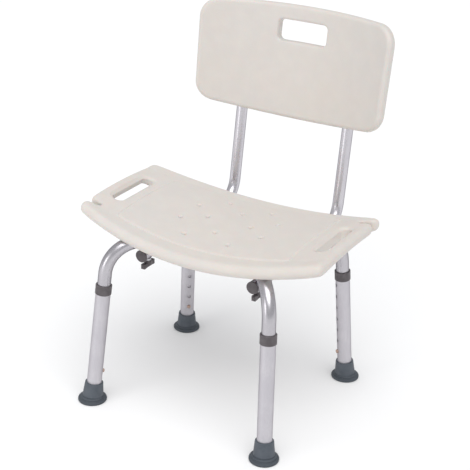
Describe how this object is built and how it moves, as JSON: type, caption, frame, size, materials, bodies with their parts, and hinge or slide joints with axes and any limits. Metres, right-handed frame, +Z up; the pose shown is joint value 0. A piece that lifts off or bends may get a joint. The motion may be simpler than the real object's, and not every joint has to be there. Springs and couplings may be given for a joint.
{
  "type": "shower chair",
  "caption": "Height-adjustable shower chair: curved moulded seat with end hand slots and drain holes, slotted backrest on bent posts, telescopic splayed legs with rubber feet.",
  "frame": {"origin": "on the floor, under the middle of the overall box, at the chair's lowest leg setting", "axes": "+Z up, +Y towards the backrest and away from the sitter's knees, +X to the right as seen from in front of the chair"},
  "size_m": [0.498, 0.4948, 0.7003],
  "materials": {
    "panel_plastic": "blow-moulded polyethylene with a fine pebbled grain, warm off-white",
    "frame_aluminium": "satin anodised tube",
    "dark_plastic": "satin moulded plastic, dark warm grey",
    "foot_rubber": "moulded rubber, dark blue-grey",
    "button_brass": "polished, slightly worn dome",
    "fastener_steel": "zinc-plated steel",
    "clip_steel": "bent spring-steel strip"
  },
  "bodies": {
    "chair": {"seat_panel": "panel_plastic", "back_panel": "panel_plastic", "frame_tube_left": "frame_aluminium", "rivet_nut_left": "fastener_steel", "post_left": "frame_aluminium", "post_plug_left": "dark_plastic", "frame_tube_right": "frame_aluminium", "rivet_nut_right": "fastener_steel", "post_right": "frame_aluminium", "post_plug_right": "dark_plastic", "seat_screws": "fastener_steel", "back_screws": "fastener_steel", "spring_clip_front_left": "clip_steel", "spring_clip_front_right": "clip_steel", "spring_clip_rear_left": "clip_steel", "spring_clip_rear_right": "clip_steel"},
    "leg_front_left": {"lower_leg_front_left": "frame_aluminium", "collar_front_left": "dark_plastic", "foot_front_left": "foot_rubber"},
    "button_front_left": {"snap_button_front_left": "button_brass"},
    "leg_front_right": {"lower_leg_front_right": "frame_aluminium", "collar_front_right": "dark_plastic", "foot_front_right": "foot_rubber"},
    "button_front_right": {"snap_button_front_right": "button_brass"},
    "leg_rear_left": {"lower_leg_rear_left": "frame_aluminium", "collar_rear_left": "dark_plastic", "foot_rear_left": "foot_rubber"},
    "button_rear_left": {"snap_button_rear_left": "button_brass"},
    "leg_rear_right": {"lower_leg_rear_right": "frame_aluminium", "collar_rear_right": "dark_plastic", "foot_rear_right": "foot_rubber"},
    "button_rear_right": {"snap_button_rear_right": "button_brass"},
    "wing_screw_left": {"wing_head_left": "dark_plastic", "wing_shank_left": "fastener_steel"},
    "wing_screw_right": {"wing_head_right": "dark_plastic", "wing_shank_right": "fastener_steel"}
  },
  "joints": [
    {"name": "height_front_left", "type": "slide", "parent": "chair", "child": "leg_front_left", "axis": [-0.0593, -0.0873, -0.9944], "range_m": [0, 0.15]},
    {"name": "press_front_left", "type": "slide", "parent": "chair", "child": "button_front_left", "axis": [-0.7048, -0.7018, 0.1036], "range_m": [0, 0.005], "stiffness_N_per_m": 800},
    {"name": "height_front_right", "type": "slide", "parent": "chair", "child": "leg_front_right", "axis": [0.0593, -0.0873, -0.9944], "range_m": [0, 0.15]},
    {"name": "press_front_right", "type": "slide", "parent": "chair", "child": "button_front_right", "axis": [0.7048, -0.7018, 0.1036], "range_m": [0, 0.005], "stiffness_N_per_m": 800},
    {"name": "height_rear_left", "type": "slide", "parent": "chair", "child": "leg_rear_left", "axis": [-0.0593, 0.0873, -0.9944], "range_m": [0, 0.15]},
    {"name": "press_rear_left", "type": "slide", "parent": "chair", "child": "button_rear_left", "axis": [-0.7048, 0.7018, 0.1036], "range_m": [0, 0.005], "stiffness_N_per_m": 800},
    {"name": "height_rear_right", "type": "slide", "parent": "chair", "child": "leg_rear_right", "axis": [0.0593, 0.0873, -0.9944], "range_m": [0, 0.15]},
    {"name": "press_rear_right", "type": "slide", "parent": "chair", "child": "button_rear_right", "axis": [0.7048, 0.7018, 0.1036], "range_m": [0, 0.005], "stiffness_N_per_m": 800},
    {"name": "wing_turn_left", "type": "hinge", "parent": "chair", "child": "wing_screw_left", "pos_m": [-0.116, -0.13785, 0.2808], "axis": [0, 0, 1], "continuous": true},
    {"name": "wing_turn_right", "type": "hinge", "parent": "chair", "child": "wing_screw_right", "pos_m": [0.116, -0.13785, 0.2808], "axis": [0, 0, 1], "continuous": true}
  ]
}
